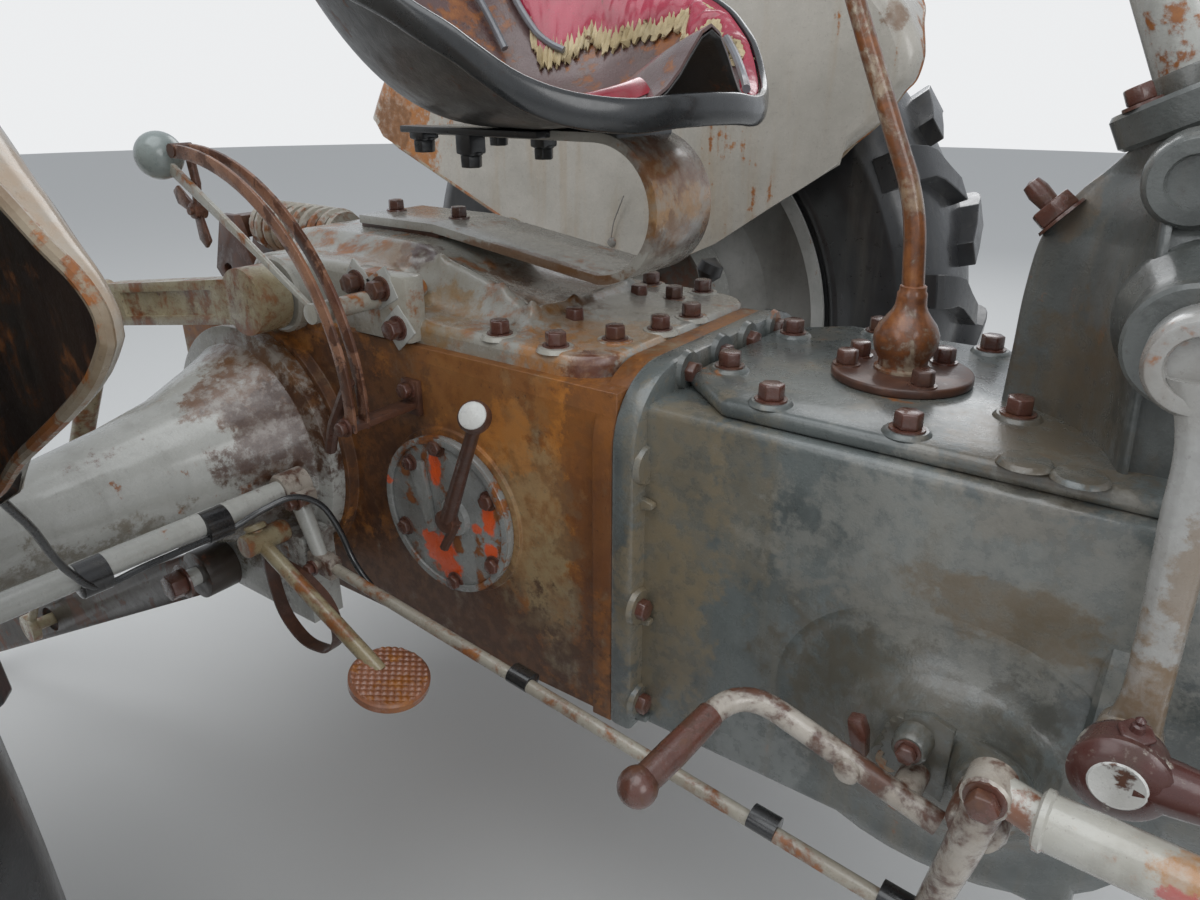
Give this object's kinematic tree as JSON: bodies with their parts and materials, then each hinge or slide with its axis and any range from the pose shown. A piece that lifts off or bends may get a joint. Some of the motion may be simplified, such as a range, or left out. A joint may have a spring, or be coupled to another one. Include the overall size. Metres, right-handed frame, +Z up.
{
  "type": "rear half of a vintage farm tractor",
  "caption": "Transmission, rear axle, seat, wings, steering box and lift linkage of a small vintage farm tractor, split at the engine flange; its rear wheels roll.",
  "frame": {"origin": "centre of the front flange that the engine bolts to, on the crankshaft's line", "axes": "+X forward out of the flange, +Y to the driver's left, +Z up"},
  "size_m": [1.9839, 1.808, 1.5172],
  "materials": {
    "wet_casting": "wet weathered casting with tan stains",
    "rusty_casting": "wet orange-brown rust",
    "grey_paint": "worn pale grey paint with rust patches",
    "wing_paint": "pale beige-grey paint with orange streaks",
    "rusty_paint": "cream-grey paint mostly rusted through",
    "rusty_steel": "brown rust",
    "dark_steel": "dark oily rust",
    "bare_steel": "dull oiled steel",
    "black_paint": "satin black",
    "black_plastic": "aged hard rubber",
    "silver_paint": "pale grey paint",
    "red_vinyl": "torn wet vinyl",
    "tyre_rubber": "wet rubber"
  },
  "bodies": {
    "frame": {"gearbox_housing": "wet_casting", "gearbox_cover": "wet_casting", "drive_shafts": "bare_steel", "gear_lever_plate": "rusty_steel", "gear_lever": "rusty_steel", "steering_box": "wet_casting", "steering_column": "grey_paint", "centre_housing": "rusty_casting", "lift_cover": "grey_paint", "side_covers": "grey_paint", "side_levers": "rusty_steel", "axle_housing_right": "grey_paint", "axle_housing_left": "grey_paint", "brake_back_plates": "grey_paint", "brake_cross_shafts": "grey_paint", "brake_rods": "rusty_paint", "pedals": "rusty_paint", "parking_brake_lever": "rusty_paint", "diff_lock_pedal": "rusty_steel", "seat_spring": "grey_paint", "seat_pan": "black_paint", "seat_cushion": "red_vinyl", "wing_right": "wing_paint", "wing_left": "wing_paint", "lamp_cable": "black_plastic", "quadrant": "rusty_steel", "lift_control_lever": "grey_paint", "draft_spring": "rusty_paint", "top_link_rocker": "rusty_steel"},
    "steering_wheel": {"steering_wheel": "black_plastic"},
    "drop_arm_right": {"drop_arm_right": "rusty_paint"},
    "drop_arm_left": {"drop_arm_left": "rusty_paint"},
    "drag_link_end_right": {"drag_link_end_right": "rusty_steel"},
    "drag_link_end_left": {"drag_link_end_left": "rusty_steel"},
    "lift_arms": {"lift_arms": "rusty_paint"},
    "lift_rod_right": {"lift_rod_right": "rusty_paint"},
    "lift_rod_left": {"lift_rod_left": "rusty_paint"},
    "lower_link_right": {"lower_link_right": "dark_steel"},
    "lower_link_left": {"lower_link_left": "dark_steel"},
    "wheel_right": {"hub_right": "grey_paint", "rim_right": "silver_paint", "tyre_right": "tyre_rubber"},
    "wheel_left": {"hub_left": "grey_paint", "rim_left": "silver_paint", "tyre_left": "tyre_rubber"}
  },
  "joints": [
    {"name": "steering_wheel_turn", "type": "hinge", "parent": "frame", "child": "steering_wheel", "pos_m": [-0.39688, 0, 0.78747], "axis": [-0.4384, 0, 0.8988], "range_deg": [-500, 500]},
    {"name": "drop_arm_right_swing", "type": "hinge", "parent": "frame", "child": "drop_arm_right", "pos_m": [-0.17, 0, 0.266], "axis": [0, 1, 0], "range_deg": [-36, 36]},
    {"name": "drop_arm_left_swing", "type": "hinge", "parent": "frame", "child": "drop_arm_left", "pos_m": [-0.17, 0, 0.266], "axis": [0, 1, 0], "range_deg": [-36, 36]},
    {"name": "lift_arms_raise", "type": "hinge", "parent": "frame", "child": "lift_arms", "pos_m": [-1.004, 0, 0.184], "axis": [0, 1, 0], "range_deg": [0, 45]},
    {"name": "drag_link_right_pivot", "type": "hinge", "parent": "drop_arm_right", "child": "drag_link_end_right", "pos_m": [-0.148, -0.231, 0.028], "axis": [0, 1, 0], "range_deg": [-36, 36]},
    {"name": "drag_link_left_pivot", "type": "hinge", "parent": "drop_arm_left", "child": "drag_link_end_left", "pos_m": [-0.148, 0.231, 0.028], "axis": [0, 1, 0], "range_deg": [-36, 36]},
    {"name": "lift_rod_right_swing", "type": "hinge", "parent": "lift_arms", "child": "lift_rod_right", "pos_m": [-1.25015, -0.245, 0.15378], "axis": [0, 1, 0], "range_deg": [-34, 1]},
    {"name": "lower_link_right_swing", "type": "hinge", "parent": "frame", "child": "lower_link_right", "pos_m": [-1.09, -0.262, -0.15], "axis": [0, 1, 0], "range_deg": [-1, 32]},
    {"name": "lift_rod_left_swing", "type": "hinge", "parent": "lift_arms", "child": "lift_rod_left", "pos_m": [-1.25015, 0.245, 0.15378], "axis": [0, 1, 0], "range_deg": [-34, 1]},
    {"name": "lower_link_left_swing", "type": "hinge", "parent": "frame", "child": "lower_link_left", "pos_m": [-1.09, 0.262, -0.15], "axis": [0, 1, 0], "range_deg": [-1, 32]},
    {"name": "wheel_right_roll", "type": "hinge", "parent": "frame", "child": "wheel_right", "pos_m": [-1.07, -0.77, -0.005], "axis": [0, 1, 0], "continuous": true},
    {"name": "wheel_left_roll", "type": "hinge", "parent": "frame", "child": "wheel_left", "pos_m": [-1.07, 0.77, -0.005], "axis": [0, 1, 0], "continuous": true}
  ],
  "couplings": [
    {"joint": "drop_arm_right_swing", "follows": "steering_wheel_turn", "ratio": 0.07},
    {"joint": "drop_arm_left_swing", "follows": "steering_wheel_turn", "ratio": -0.07},
    {"joint": "drag_link_right_pivot", "follows": "steering_wheel_turn", "ratio": -0.07},
    {"joint": "drag_link_left_pivot", "follows": "steering_wheel_turn", "ratio": 0.07},
    {"joint": "lift_rod_right_swing", "follows": "lift_arms_raise", "ratio": -0.74},
    {"joint": "lower_link_right_swing", "follows": "lift_arms_raise", "ratio": 0.692},
    {"joint": "lift_rod_left_swing", "follows": "lift_arms_raise", "ratio": -0.74},
    {"joint": "lower_link_left_swing", "follows": "lift_arms_raise", "ratio": 0.692}
  ]
}
